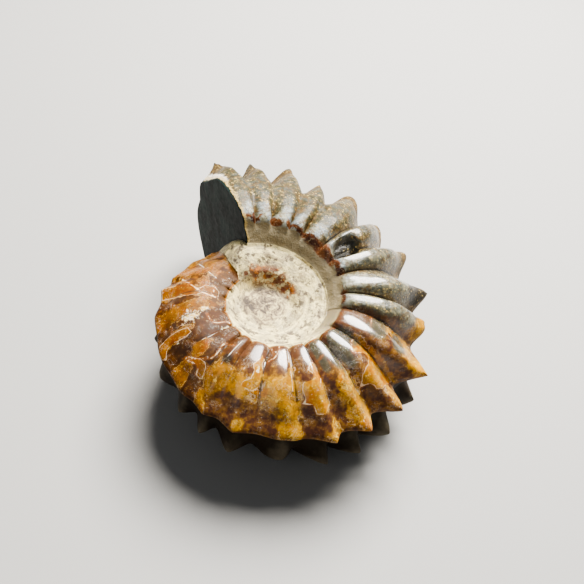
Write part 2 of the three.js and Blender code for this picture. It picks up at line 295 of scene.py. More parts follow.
# Columns: one on each crest and evenly between. Rows: shares of the way from the axis to the
# edge of the matrix, then shares of the way from there to the venter.
first_number, last_number = rib_number(np.array([MOUTH_ANGLE, MOUTH_ANGLE + TURN]))
steps = np.arange(math.ceil(first_number * COLUMNS_IN_RIB), int(last_number * COLUMNS_IN_RIB) + 1)
numbers = np.concatenate([[first_number], steps / COLUMNS_IN_RIB, [last_number]])
columns = np.interp(numbers, stop_numbers, stop_angles)
columns[0] = MOUTH_ANGLE
columns[-1] = MOUTH_ANGLE + TURN
bend = smoothstep(0, ARCH_FADE, np.minimum(columns - MOUTH_ANGLE, MOUTH_ANGLE + TURN - columns))

UPPER_MATRIX_ROWS = spaced([0, 0.35, 0.75, 1], [8, 18, 8])
LOWER_MATRIX_ROWS = spaced([0, 0.35, 0.75, 1], [4, 10, 5])
UPPER_WHORL_ROWS = spaced([0, 0.06, 0.25, 0.68, 0.9, 1], [5, 12, 26, 20, 5])
LOWER_WHORL_ROWS = spaced([0, 0.06, 0.25, 0.68, 0.9, 1], [3, 9, 18, 16, 5])


def side_rows(flank, floor, sign, whorl_rows, matrix_rows):
    """Rows of one side from the axis to the venter, each with the columns' places and marks."""
    edge_share = MATRIX_EDGE * matrix_radius(columns) / whorl_radius(columns)
    acrosses = [point[0] for point in flank["groove"][:-1]]
    edge_place = np.interp(edge_share, acrosses, np.arange(VENTER))
    whorl = []
    for share in whorl_rows:
        place = edge_place + (VENTER - edge_place) * share
        angle = columns + arch_at(place) * bend
        across, up, number, height, covered = section(angle, place, flank)
        whorl.append([angle, across, up, number, place, height, covered])
    edge_angle, edge_across, edge_up = whorl[0][:3]
    edge_across[-1], edge_up[-1] = edge_across[0], edge_up[0]
    nothing = np.zeros_like(columns)
    matrix = [
        [edge_angle, edge_across * share, bowl_height(edge_across * share, edge_angle, floor),
         nothing, nothing, nothing, nothing + 1]
        for share in matrix_rows[:-1]
    ]
    table = np.array(matrix + whorl)
    table[:, 2] *= sign
    return table


UPPER_FLANK = {"groove": UPPER_GROOVE, "polished": POLISHED_GROOVE, "crest": UPPER_CREST,
               "hollow": HOLLOW_DEPTH, "ground": GROUND_SHARE}
LOWER_FLANK = {"groove": LOWER_GROOVE, "polished": LOWER_GROOVE, "crest": LOWER_CREST,
               "hollow": 0, "ground": 0}
upper = side_rows(UPPER_FLANK, UPPER_FLOOR, 1, UPPER_WHORL_ROWS, UPPER_MATRIX_ROWS)
lower = side_rows(LOWER_FLANK, LOWER_FLOOR, -1, LOWER_WHORL_ROWS, LOWER_MATRIX_ROWS)
table = np.concatenate([upper, lower[-2::-1]])
angles, distances, ups, rib_numbers, places, heights, covers = table.transpose(1, 0, 2)
azimuths = np.radians(MOUTH_AZIMUTH - angles)
surface = np.stack([distances * np.cos(azimuths), distances * np.sin(azimuths), ups], axis=2)

# The broken face is a second sheet, from the section at the mouth in to that of the turn before.
FACE_COLUMNS = 41
first_row = len(UPPER_MATRIX_ROWS) - 1
last_row = len(table) - len(LOWER_MATRIX_ROWS)
rim_line = surface[first_row:last_row + 1, 0]
inner_line = surface[first_row:last_row + 1, -1]
inward = np.linspace(0, 1, FACE_COLUMNS)[None, :, None]
face = rim_line[:, None] * (1 - inward) + inner_line[:, None] * inward

# Lines of pale calcite on the polished flank, where the walls of the chambers met the shell, and
# a few hairline cracks: rib number and place of their points.
SUTURES = [
    [(10.5, 3.6), (10.75, 3.72), (10.95, 3.95), (11.02, 4.2), (10.9, 4.42), (10.7, 4.57)],
    [(10.6, 4.85), (10.77, 5.1), (11, 5.24), (11.2, 5.4), (11.3, 5.7), (11.38, 5.97), (11.48, 6.25)],
    [(11.38, 5.97), (11.2, 5.97), (11.14, 6.12), (11.12, 6.4), (10.9, 6.57), (10.72, 6.85), (10.6, 7.25)],
    [(12.05, 3.4), (12.3, 3.6), (12.6, 3.7), (13, 3.8), (13.12, 4.1), (13, 4.35)],
    [(12.5, 4.75), (12.62, 4.95), (12.85, 5.2), (13.05, 5.35), (13.2, 5.5), (13.34, 5.85), (13.38, 5.98),
     (13.18, 6), (13.15, 6.5), (13, 6.5)],
    [(14.45, 3.6), (14.25, 3.25), (14.1, 2.6), (14.1, 2)],
    [(14.3, 2.9), (14.38, 2.4), (14.45, 1.9)],
    [(17.45, 6.4), (17.2, 5.95), (17, 5.65), (16.8, 5.4), (16.6, 5.15), (16.55, 4.7), (16.6, 4.3),
     (16.7, 3.95), (16.6, 3.7), (16.3, 3.55), (16, 3.4)],
    [(17.5, 6.6), (17.19, 6.2), (16.95, 6), (16.8, 6.15), (16.76, 6.5), (16.5, 6.55)],
    [(18.35, 3.75), (18.1, 3.68), (17.87, 3.5), (17.8, 3.2), (17.74, 2.4), (17.6, 2.1)],
    [(18.05, 6.52), (18.2, 6.6), (18.4, 6.5)],
    [(19.25, 3), (19.35, 3.6), (19.45, 4.2), (19.62, 4.75), (19.8, 5.2), (20, 5.7), (20.2, 6.2)],
    [(19.62, 4.7), (19.75, 4.35), (19.9, 4.15)],
    [(19.35, 3.3), (19.5, 3.5), (19.65, 3.3), (19.8, 3.45), (19.95, 3.3)],
    [(20.4, 6.2), (20.6, 6.8), (21.2, 7.1)],
    [(9.5, 3.95), (9.75, 4), (10, 4.1)],
]
CRACKS = [
    [(14.5, 5.6), (14.46, 6), (14.41, 6.45)],
    [(13.7, 2.1), (13.67, 3.2), (13.63, 4), (13.6, 4.7), (13.62, 5.3)],
    [(15.98, 2.7), (15.98, 3.4), (15.99, 4.1), (16.07, 5.1)],
    [(17.5, 2.4), (17.42, 3.3), (17.38, 4.2), (17.45, 4.8)],
    [(21.81, 6.8), (21.5, 5.7), (21.15, 4.6), (20.94, 3.7)],
]
# Orange lobes: the outlines of the chambers' walls where a pale line rings them.
LOBES = [
    [(10.5, 3.6), (10.75, 3.72), (10.95, 3.95), (11.02, 4.2), (10.9, 4.42), (10.7, 4.57), (10.62, 4.85),
     (10.77, 5.1), (11, 5.24), (11.2, 5.4), (11.3, 5.7), (11.38, 5.97), (11.2, 5.97), (11.14, 6.12),
     (11.12, 6.4), (10.9, 6.57), (10.72, 6.85), (10.6, 7.25), (10.5, 7.6)],
    [(12.5, 3.65), (13, 3.75), (13.1, 4.1), (13, 4.4), (13.02, 4.75), (13.3, 4.85), (13.35, 5.3),
     (13.3, 5.7), (13.38, 5.98), (13.18, 6), (13.15, 6.5), (13, 6.5), (12.7, 6.3), (12.5, 6.3)],
    [(14.66, 3.2), (14.74, 3.6), (14.86, 4), (14.77, 4.5), (14.8, 5), (14.98, 5.2), (15, 5.5),
     (14.82, 5.62), (14.62, 5.55), (14.52, 5.2), (14.48, 4.7), (14.55, 4.1), (14.6, 3.8), (14.56, 3.5)],
    [(16.5, 6.55), (16.55, 5.9), (16.7, 5.6), (16.95, 5.6), (17.2, 5.9), (17.45, 6.3), (17.5, 6.6),
     (17.19, 6.2), (16.95, 6), (16.8, 6.15), (16.76, 6.5)],
    [(17.86, 5.2), (18.05, 5.3), (18.15, 5.9), (18.18, 6.4), (18.22, 7.2), (18.15, 8), (17.9, 8),
     (17.8, 7.6), (17.95, 7.3), (17.98, 6.8), (17.9, 6.2), (17.84, 5.6)],
    [(19.45, 4.2), (19.62, 4.75), (19.8, 5.2), (20, 5.7), (20, 7.8), (19.6, 7.8), (19.5, 6.8),
     (19.35, 5.6), (19.28, 4.6)],
    [(19.3, 2.8), (19.7, 2.85), (19.95, 3.4), (19.9, 4.15), (19.75, 4.35), (19.62, 4.7), (19.45, 4.2),
     (19.35, 3.6)],
]
# Cloudy patches: rib number and place of the middle, then the half widths in ribs and in places.
PATCHES = {
    "gold": [
        (9.12, 7.5, 0.3, 0.8), (10, 7.3, 0.2, 0.9), (9.68, 6.2, 0.13, 1.2), (10.43, 6, 0.08, 2.2),
        (10.88, 7.3, 0.12, 0.7), (11.85, 6.3, 0.38, 1.7), (12.7, 5.4, 0.25, 1), (12.7, 7.6, 0.35, 0.6),
        (13.68, 6, 0.3, 2.1), (14.2, 5.5, 0.35, 1.2), (14.02, 7.5, 0.12, 0.6), (14.9, 7.5, 0.15, 0.4),
        (15.1, 5.7, 0.35, 0.7), (15.9, 5.8, 0.55, 1.1), (16.2, 7.5, 0.22, 0.6), (17.28, 5.2, 0.26, 0.6),
        (17.25, 7.2, 0.25, 0.9), (18.75, 6, 0.32, 2), (18.85, 4, 0.18, 1.2), (18.02, 6.6, 0.14, 1.5),
        (19.75, 6.4, 0.25, 1.6), (19.6, 3.7, 0.3, 0.9), (21.75, 7.4, 0.2, 0.35),
    ],
    "plum": [
        (9.8, 3.2, 0.22, 0.6), (10.25, 6.9, 0.12, 1.3), (11.1, 4.8, 0.18, 0.3), (11.2, 7.2, 0.16, 0.9),
        (12.4, 6.2, 0.12, 2.3), (13.3, 7.1, 0.18, 1), (14.5, 7.3, 0.28, 0.7), (15.3, 7, 0.38, 0.8),
        (15.72, 7.6, 0.2, 0.6), (16.68, 7.2, 0.18, 0.8), (17.7, 6.4, 0.17, 1.8), (18.4, 7.2, 0.17, 0.8),
        (19.15, 6.9, 0.14, 1), (20.2, 7.6, 0.3, 0.5), (20.4, 3, 0.5, 0.8),
    ],
    "soot": [
        (12.75, 2.9, 0.2, 0.7), (15.95, 4.5, 0.28, 0.45), (6.42, 3.05, 0.42, 0.95), (8.05, 6.9, 0.3, 0.9),
    ],
    "glass": [
        (10.75, 3, 0.34, 1.1), (11.78, 3.4, 0.3, 1.4), (9.8, 4.4, 0.3, 0.55), (9.8, 5.9, 0.2, 0.5),
        (11.25, 3.6, 0.2, 1.2), (12.25, 3.4, 0.15, 1.2),
    ],
    "rust": [
        (1.25, 1.9, 0.2, 0.35), (2.6, 1.85, 0.3, 0.25), (3.3, 1.95, 0.25, 0.2), (4.5, 1.8, 0.3, 0.2),
        (5.7, 1.7, 0.85, 0.5), (6.4, 1.75, 0.45, 0.5), (7.45, 1.9, 0.12, 0.35), (8.5, 1.85, 0.1, 0.3),
        (9.55, 2, 0.1, 0.4),
    ],
    # White druses; the small spot in the orange lobe and the one beside the largest druse are painted
    # glints.
    "druse_and_glint": [
        (18.4, 4.9, 0.2, 0.7), (18.6, 4, 0.1, 0.4), (14.68, 4.3, 0.04, 0.3), (11.48, 6.25, 0.06, 0.15),
        (17.46, 2.8, 0.06, 0.35),
    ],
}


def on_flank(drawn):
    """Points of the upper flank, given as rib numbers and places, in millimetres."""
    rib_count, at_place = np.array(drawn).T
    at_angle = np.interp(rib_count, stop_numbers, stop_angles) + arch_at(at_place)
    away, rise_up = section(at_angle, at_place, UPPER_FLANK)[:2]
    turn = np.radians(MOUTH_AZIMUTH - at_angle)
    return 1000 * np.stack([away * np.cos(turn), away * np.sin(turn), rise_up], axis=1)


def nearness(lines, points, reach_mm):
    """Distance in millimetres of each point to the nearest of the lines, at most reach_mm."""
    nearest = np.full(points.shape[:-1], reach_mm)
    for line in lines:
        for start, end in zip(line, line[1:]):
            along = end - start
            share = np.clip((points - start) @ along / (along @ along), 0, 1)
            gap = np.linalg.norm(points - start - share[..., None] * along, axis=-1)
            nearest = np.minimum(nearest, gap)
    return nearest


def inside_outline(outline, east, north):
    within = np.zeros(east.shape, bool)
    for (x0, y0), (x1, y1) in zip(outline, outline[1:] + outline[:1]):
        if y0 != y1:
            crossing = x0 + (north - y0) * (x1 - x0) / (y1 - y0)
            within ^= ((y0 > north) != (y1 > north)) & (east < crossing)
    return within


FIELD_REACH = 1.5  # distances to what is drawn are cut off at this many millimetres
points_mm = 1000 * surface
sides = np.repeat([1, -1], [len(upper), len(lower) - 1])[:, None] + 0 * angles
on_upper_whorl = (sides > 0) & (places > 0)


def only_flank(values, elsewhere):
    return np.where(on_upper_whorl, values, elsewhere)


rings = [on_flank(lobe + lobe[:1]) for lobe in LOBES]
to_ring = nearness(rings, points_mm, FIELD_REACH)
in_lobe = np.any([inside_outline(lobe, rib_numbers, places) for lobe in LOBES], axis=0)
to_suture = nearness([on_flank(line) for line in SUTURES], points_mm, FIELD_REACH)
to_crack = nearness([on_flank(line) for line in CRACKS], points_mm, FIELD_REACH)
# For each drawing: its values on the upper flank, and its value where nothing is drawn.
drawings = {
    "suture": (to_suture, FIELD_REACH),
    "crack": (to_crack, FIELD_REACH),
    "lobe": (np.where(in_lobe, to_ring, -to_ring), -FIELD_REACH),
}
PATCH_FALL = 0.7  # how fast a patch fades beyond its half widths
for name, patches in PATCHES.items():
    offsets = [
        ((rib_numbers - rib_middle) / half_ribs) ** 2 + ((places - place_middle) / half_places) ** 2
        for rib_middle, place_middle, half_ribs, half_places in patches
    ]
    drawings[name] = (np.exp(-PATCH_FALL * np.min(offsets, axis=0)), 0)

# What each point of the fossil is, for its finish: how near the broken face it lies, its rib
# number, its place in the section, its height on the rib, how far the matrix covers it, its side,
# its whorl angle, and how near it lies to each drawing.
MOUTH_FALL = 3  # degrees over which the mark of the break fades along the whorl
to_mouth = np.where(places > 0, 0.5 * np.exp(-(angles - MOUTH_ANGLE) / MOUTH_FALL), 0)
face_side = sides[first_row:last_row + 1, :1] + 0 * face[:, :, 0]
nothing_on_face = 0 * face_side
on_face_edge = inward[:, :, 0] * (1 - inward[:, :, 0]) == 0
sheet_marks = {
    "broken": (to_mouth, 1 - 0.5 * on_face_edge + nothing_on_face),
    "rib": (rib_numbers, nothing_on_face),
    "place": (places, nothing_on_face + TUBERCLE),
    "crest": (heights, nothing_on_face),
    "matrix": (covers, nothing_on_face),
    "side": (sides, face_side),
    "whorl": (angles, nothing_on_face),
}
for name, (values, undrawn) in drawings.items():
    sheet_marks[name] = (only_flank(values, undrawn), nothing_on_face + undrawn)

SAME_POINT = 1e-7  # metres within which two points are one
NO_LENGTH = 1e-8  # metres under which an edge has no length
form = bmesh.new()
layers = {name: form.verts.layers.float.new(name) for name in sheet_marks}
for which, sheet in enumerate((surface, face)):
    rows_in, columns_in = sheet.shape[:2]
    grid = bmesh.ops.create_grid(form, x_segments=columns_in - 1, y_segments=rows_in - 1, size=1)
    for vertex, point in zip(grid["verts"], sheet.reshape(-1, 3)):
        vertex.co = point
    for name, sheets in sheet_marks.items():
        for vertex, value in zip(grid["verts"], sheets[which].ravel()):
            vertex[layers[name]] = value
bmesh.ops.remove_doubles(form, verts=form.verts[:], dist=SAME_POINT)
bmesh.ops.dissolve_degenerate(form, edges=form.edges[:], dist=NO_LENGTH)
bmesh.ops.recalc_face_normals(form, faces=form.faces[:])
bmesh.ops.transform(form, matrix=coil_to_table, verts=form.verts[:])

# Its skin is never quite even: low lumps, highest on the stone and on the worn shell near the
# mouth. Lump sizes and heights are in millimetres.
WORN_TO = (95, 120)  # whorl angles over which the worn shell ends
VENTER_FROM = 8.4  # the place from which the skin is that of the venter
COARSE_LUMP = 3.0
FINE_LUMP = 1.3
FINE_LUMP_SHIFT = Vector((7, 3, 5))  # keeps the fine lumps from lining up with the coarse ones
COARSE_HEIGHTS = (0.05, 0.06, 0.08)  # everywhere, added on worn shell, added on stone
FINE_HEIGHTS = (0.012, 0.07, 0.06)
BARE_CALM = 0.7  # share by which the lumps sink on the broken face
LOWER_CALM = 0.4  # and on the venter and the lower flank


def lump_height(noise_value, parts, worn_share, stony):
    return noise_value * (parts[0] + parts[1] * worn_share + parts[2] * stony)


form.normal_update()
for vertex in form.verts:
    past_worn = (vertex[layers["whorl"]] - WORN_TO[0]) / (WORN_TO[1] - WORN_TO[0])
    worn_share = 1 - min(max(past_worn, 0), 1)
    stony = vertex[layers["matrix"]]
    on_lower = vertex[layers["side"]] < 0 or vertex[layers["place"]] > VENTER_FROM
    coarse = noise.noise(vertex.co * 1000 / COARSE_LUMP)
    fine = noise.noise(vertex.co * 1000 / FINE_LUMP + FINE_LUMP_SHIFT)
    lump_mm = lump_height(coarse, COARSE_HEIGHTS, worn_share, stony)
    lump_mm += lump_height(fine, FINE_HEIGHTS, worn_share, stony)
    lump_mm *= (1 - BARE_CALM * vertex[layers["broken"]]) * (1 - LOWER_CALM * on_lower)
    vertex.co += vertex.normal * lump_mm / 1000
SHARP_EDGE = math.radians(50)
for facet in form.faces:
    facet.smooth = True
for edge in form.edges:
    edge.smooth = edge.calc_face_angle(0) < SHARP_EDGE

mesh = bpy.data.meshes.new("ammonite_polished")
form.to_mesh(mesh)
form.free()
ammonite = bpy.data.objects.new("ammonite_polished", mesh)
bpy.context.scene.collection.objects.link(ammonite)
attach(ammonite, "root")
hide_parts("ammonite")

# ---------------------------------------------------------------------------------------------
# The fossil's finish. Shell and calcite are ground and polished on the upper flank: amber calcite
# with pale suture lines on the older ribs, silvery to olive shell nearer the mouth. Cream stone
# fills the umbilicus, and the broken face is dark stone.


class Signal:
    """A socket of the fossil's material, so that its maths reads as a sum."""

    def __init__(self, socket):
        self.socket = socket

    def __add__(self, other):
        return maths("ADD", self, other)

    def __sub__(self, other):
        return maths("SUBTRACT", self, other)

    def __rsub__(self, other):
        return maths("SUBTRACT", other, self)

    def __mul__(self, other):
        return maths("MULTIPLY", self, other)

    def __truediv__(self, other):
        return maths("DIVIDE", self, other)

    __radd__ = __add__
    __rmul__ = __mul__


finish = bpy.data.materials.new("polished_fossil")
finish.use_nodes = True
finish.node_tree.nodes.clear()
mesh.materials.append(finish)


def node(kind, settings=(), sockets=(), result=0):
    """A node with its settings, then the values or links of its sockets."""
    made = finish.node_tree.nodes.new(kind)
    for name, value in dict(settings).items():
        setattr(made, name, value)
    for name, value in dict(sockets).items():
        if isinstance(value, Signal):
            finish.node_tree.links.new(value.socket, made.inputs[name])
        else:
            made.inputs[name].default_value = value
    return Signal(made.outputs[result])


def maths(operation, *values):
    return node("ShaderNodeMath", {"operation": operation}, dict(enumerate(values)))


def rise(signal, low, high):
    """Smooth step from 0 at low to 1 at high."""
    settings = {"interpolation_type": "SMOOTHSTEP"}
    return node("ShaderNodeMapRange", settings, {"Value": signal, "From Min": low, "From Max": high})


def ridge(signal, middle, width):
    """1 where the signal is at its middle value, falling to 0 at width from there."""
    return 1 - rise(maths("ABSOLUTE", signal - middle), width * 0.4, width)


def highest(*signals):
    most = signals[0]
    for signal in signals[1:]:
        most = maths("MAXIMUM", most, signal)
    return most


def mix(under, over, amount):
    return node("ShaderNodeMix", {"data_type": "RGBA"}, {0: amount, 6: under, 7: over}, result=2)


def shade(colour, amount):
    """The colour made darker or lighter by a factor."""
    return node("ShaderNodeVectorMath", {"operation": "SCALE"}, {0: colour, "Scale": amount})


def scaled(vector, factors):
    return node("ShaderNodeVectorMath", {"operation": "MULTIPLY"}, {0: vector, 1: factors})


def mark(name):
    return node("ShaderNodeAttribute", {"attribute_name": name}, result="Fac")


where = node("ShaderNodeTexCoord", result="Object")


def cloud(size_mm, detail=2.0, roughness=0.5, distortion=0.0):
    sockets = {"Vector": where, "Scale": 1000 / size_mm, "Detail": detail}
    sockets |= {"Roughness": roughness, "Distortion": distortion}
    return node("ShaderNodeTexNoise", {}, sockets)


def sway(clouds, reach):
    """Clouds swung about zero, by up to half the reach each way."""
    return (clouds - 0.5) * reach


def specks(size_mm, radius):
    """Scattered dots: 1 near a cell's middle."""
    distance = node("ShaderNodeTexVoronoi", {}, {"Vector": where, "Scale": 1000 / size_mm}, "Distance")
    return 1 - rise(distance, radius * 0.5, radius)


rib = mark("rib")
place = mark("place")
crest = mark("crest")
cover = mark("matrix")
broken = mark("broken")
side = mark("side")
whorl = mark("whorl")
suture = mark("suture")
crack = mark("crack")
lobe_inside = mark("lobe")
gold_patch = mark("gold")
plum_patch = mark("plum")
soot_patch = mark("soot")
druse_and_glint_patch = mark("druse_and_glint")
rust_patch = mark("rust")
glass_patch = mark("glass")

# Clouds that the finishes share, from coarse to fine.
swell = cloud(size_mm=7)
drift = cloud(size_mm=3.1, detail=3)
blotch = cloud(size_mm=1.7, detail=3)
grit = cloud(size_mm=0.75, detail=4, roughness=0.65)
dust = cloud(size_mm=0.3, detail=3, roughness=0.7)

# Amber calcite in the chambers: brown nearer the axis, golden and cloudy further out, and golden
# nearly everywhere in the oldest of them.
GOLD = (0.45, 0.22, 0.014, 1)
HONEY = (0.72, 0.48, 0.1, 1)
ORANGE = (0.42, 0.13, 0.005, 1)
TAWNY = (0.23, 0.11, 0.014, 1)
BURNT = (0.12, 0.05, 0.008, 1)
PLUM = (0.085, 0.034, 0.02, 1)
UMBER = (0.12, 0.053, 0.025, 1)
MAUVE = (0.105, 0.055, 0.028, 1)
RUSSET = (0.2, 0.095, 0.022, 1)
ASHEN = (0.2, 0.125, 0.07, 1)
SMOKY = (0.07, 0.068, 0.046, 1)
# The darkest colour serves the sooty patches, and also the painted shade in the grooves.
SOOT_AND_SHADE = (0.016, 0.014, 0.01, 1)
RUST = (0.34, 0.1, 0.012, 1)
SUTURE = (0.85, 0.66, 0.42, 1)
WHITE = (0.85, 0.8, 0.7, 1)
OLD_TINT = (0.52, 0.39, 0.18)  # what the oldest amber keeps of red, green and blue
OUTER_PLACES = (3.6, 5)  # places over which the brown turns plum and russet
OLD_FROM = (215, 250)  # whorl angles over which the oldest amber begins
LATE_RIBS = (18.6, 20)  # rib numbers over which gold comes to lie everywhere
LATE_PLACES = (2.2, 3.4)  # and the places over which it does, out from the rim
# The dark lines in the grooves are painted shade.
GROOVE_SHADE_PLACES = (2, 2.6, 5.5, 7)  # places over which dark lines in the grooves begin, and end
ASHEN_FROM = (262, 300)  # whorl angles over which the greyish inner flank begins
ASHEN_TO = (3, 3.8)  # and the places over which it ends

tawny_clouds = cloud(size_mm=1.8, detail=5, roughness=0.7)
orange_clouds = cloud(size_mm=2.6, detail=3, roughness=0.6)
burnt_clouds = cloud(size_mm=1.3, detail=5, roughness=0.75, distortion=0.8)
honey_clouds = cloud(size_mm=0.9, detail=6, roughness=0.85, distortion=0.5)
golden = mix(GOLD, TAWNY, rise(tawny_clouds, 0.44, 0.58))
golden = mix(golden, ORANGE, rise(orange_clouds, 0.52, 0.66) * 0.6)
golden = mix(golden, BURNT, rise(burnt_clouds, 0.54, 0.64) * 0.6)
golden = mix(golden, HONEY, rise(honey_clouds, 0.52, 0.62) * 0.85)

outer = rise(place + sway(drift, 2.4), *OUTER_PLACES)
inner_dusk = mix(UMBER, MAUVE, rise(blotch, 0.4, 0.62))
outer_dusk = mix(PLUM, RUSSET, rise(grit * 0.6 + blotch * 0.4, 0.42, 0.6))
dusky = mix(inner_dusk, outer_dusk, outer)
tan_clouds = cloud(size_mm=1.9, detail=5, roughness=0.75, distortion=0.6)
dusky = mix(dusky, TAWNY, rise(tan_clouds, 0.5, 0.62) * outer * 0.45)
old = rise(whorl, *OLD_FROM)
dusky = mix(dusky, MAUVE, old * rise(drift, 0.42, 0.58) * 0.7)

# Grooves are half way between whole rib numbers, and thin dark lines of painted shade are drawn in them.
to_groove = maths("ABSOLUTE", maths("FRACT", rib) - 0.5)
groove_shade_line = 1 - rise(to_groove + sway(dust, 0.03), 0.012, 0.05)
groove_shade_line = groove_shade_line * rise(place, *GROOVE_SHADE_PLACES[:2]) * (1 - rise(place, *GROOVE_SHADE_PLACES[2:]))

late = rise(rib + sway(swell, 2.5), *LATE_RIBS) * rise(place + sway(drift, 2), *LATE_PLACES)
wander = sway(blotch, 1.3) + sway(grit, 0.9)
gold_cloud = highest(gold_patch, late * 0.5) + wander - 0.55 * plum_patch
gold_share = rise(gold_cloud, 0.28, 0.56)
gold_edge = ridge(gold_cloud, 0.4, 0.04) * rise(drift + 0.08 * old, 0.5, 0.58)
lobe_edge_mm = lobe_inside + sway(grit, 0.45)
lobe_share = rise(lobe_edge_mm, -0.05, 0.05)
lobe_colour = mix(ORANGE, GOLD, rise(blotch, 0.36, 0.56))
lobe_colour = mix(lobe_colour, golden, rise(grit, 0.42, 0.6))
amber = mix(dusky, TAWNY, rise(gold_cloud, 0.1, 0.34) * 0.5)
amber = mix(amber, golden, gold_share)
amber = mix(amber, SUTURE, gold_edge * (0.4 + 0.4 * old))
amber = mix(amber, lobe_colour, lobe_share * 0.9)
amber = mix(amber, SMOKY, rise(glass_patch + sway(blotch, 0.7), 0.32, 0.6) * 0.85)
soot_share = rise(soot_patch + sway(blotch, 0.8) + sway(grit, 0.9), 0.3, 0.8)
amber = mix(amber, SOOT_AND_SHADE, soot_share * 0.9)
amber = shade(amber, 0.3 + 1.4 * grit)
ashen_share = rise(whorl + sway(drift, 30), *ASHEN_FROM)
ashen_share = ashen_share * (1 - rise(place + sway(blotch, 1.6), *ASHEN_TO))
amber = mix(amber, mix(ASHEN, MAUVE, rise(grit, 0.42, 0.58)), ashen_share * 0.6)
amber = mix(amber, scaled(amber, OLD_TINT), old)
# White druses, together with small white spots that are painted glints.
druse_and_glint_share = rise(druse_and_glint_patch + sway(grit, 2.8) + sway(dust, 1.2), 0.5, 0.8)
amber = mix(amber, mix(HONEY, WHITE, rise(dust, 0.42, 0.6)), druse_and_glint_share * 0.75)
line_mm = suture + sway(dust, 0.2) + sway(grit, 0.3)
amber = mix(amber, RUST, (1 - rise(line_mm, 0.08, 0.3)) * 0.4)
amber = mix(amber, SUTURE, (1 - rise(line_mm, 0.02, 0.1)) * 0.9)
ring_mm = maths("ABSOLUTE", lobe_edge_mm)
amber = mix(amber, SUTURE, (1 - rise(ring_mm, 0.01, 0.06)) * rise(blotch, 0.42, 0.5) * 0.7)
# Painted shade: thin dark lines in the grooves.
amber = mix(amber, SOOT_AND_SHADE, groove_shade_line * rise(drift, 0.4, 0.55) * 0.7)
crack_mm = crack + sway(dust, 0.08)
amber = mix(amber, WHITE, (1 - rise(crack_mm, 0.03, 0.09)) * rise(dust, 0.36, 0.46))
crackle_clouds = cloud(size_mm=1.5, detail=5, roughness=0.8, distortion=1.4)
crackle = ridge(crackle_clouds, 0.5, 0.012) * rise(blotch, 0.48, 0.58)
amber = mix(amber, WHITE, crackle * 0.28)
amber = mix(amber, WHITE, specks(size_mm=0.6, radius=0.15) * rise(blotch, 0.48, 0.58) * 0.4)
honey_specks = specks(size_mm=0.33, radius=0.26) * rise(grit, 0.48, 0.58)
amber = mix(amber, HONEY, honey_specks * (0.2 + 0.3 * gold_share))

# Shell near the mouth: silvery, then olive and glassy, with gold grains and ochre veins.
# It is darker in the grooves as painted shade. It is pale at the ribs' inner ends where it rolls
# over into the umbilicus, and paler on the crests, partly as pearly nacre and partly as a painted
# highlight.
SILVER = (0.055, 0.048, 0.02, 1)
OLIVE = (0.165, 0.158, 0.105, 1)
PEARL_AND_HIGHLIGHT = (0.5, 0.48, 0.34, 1)
FROST_AND_HIGHLIGHT = (0.24, 0.27, 0.27, 1)
GRAIN = (0.55, 0.4, 0.15, 1)
# The ochre serves the veins and the outer strip, and also the painted shade in the grooves.
OCHRE_AND_SHADE = (0.12, 0.068, 0.022, 1)
SLATE = (0.08, 0.085, 0.07, 1)
OLIVE_FROM = (70, 96)  # whorl angles over which silver turns olive
AMBER_FROM = (118.5, 121.5)  # whorl angles over which the shell gives way to amber
AMBER_LEAD = 11  # degrees by which amber comes sooner at the tubercles
OUTER_FLANK = (6.2, 7.6)  # places of the outermost, roughest strip of the flank

olive_share = rise(whorl + sway(drift, 30), *OLIVE_FROM)
shell = mix(SILVER, OLIVE, olive_share)
# Painted shade: darker and ochre away from the crests, down in the grooves.
shell = mix(shell, OCHRE_AND_SHADE, rise(1 - crest + sway(drift, 1.2), 0.5, 0.9) * 0.7)
shell = mix(shell, OCHRE_AND_SHADE, rise(place + sway(blotch, 2), 5.6, 7.4) * 0.75)
shell = mix(shell, SLATE, 0.75 * rise(blotch, 0.48, 0.6))
# Partly nacre and partly a painted highlight: pale at the ribs' inner ends by the rim, and paler on the
# crests.
pearl_and_highlight = rise(0.3 * (2.9 - place) + sway(blotch, 1.2) + 0.3 * (crest - 0.6), -0.06, 0.36)
pearl_and_highlight_colour = mix(PEARL_AND_HIGHLIGHT, FROST_AND_HIGHLIGHT, rise(grit * 0.4 + blotch * 0.6, 0.43, 0.55))
shell = mix(shell, pearl_and_highlight_colour, pearl_and_highlight * (1 - 0.55 * olive_share))
flakes = rise(cloud(size_mm=0.7, detail=5, roughness=0.85, distortion=0.4), 0.55, 0.62)
shell = mix(shell, GRAIN, flakes * rise(place, 2.4, 3.4) * 0.7)
vein_clouds = cloud(size_mm=3, detail=4, roughness=0.65, distortion=0.8)
shell = mix(shell, OCHRE_AND_SHADE, 0.7 * ridge(vein_clouds, 0.5, 0.03))
shell = mix(shell, SOOT_AND_SHADE, rise(soot_patch + sway(blotch, 0.6), 0.45, 0.62) * 0.85)
shell = shade(shell, maths("MAXIMUM", 2.6 * grit - 0.35, 0.15))
# Painted shade: thin dark lines in the grooves of the shell.
shell = mix(shell, SOOT_AND_SHADE, groove_shade_line * rise(whorl, 40, 60) * 0.85)
crumbly = rise(broken + sway(grit, 0.2), 0.13, 0.2) * rise(place + sway(blotch, 1.5), 4.6, 5.6)
shell = mix(shell, WHITE, crumbly * rise(grit, 0.36, 0.5))
grains = specks(size_mm=0.55, radius=0.3) * rise(cloud(size_mm=1.2, detail=3), 0.46, 0.6)
shell = mix(shell, GRAIN, grains * rise(place, 2.2, 2.9) * 0.9)

outer_strip = rise(place, *OUTER_FLANK)
amber_angle = whorl + sway(drift, 8) + sway(blotch, 5) + AMBER_LEAD * outer_strip
amber_share = rise(amber_angle, *AMBER_FROM)
whorl_colour = mix(shell, amber, amber_share)

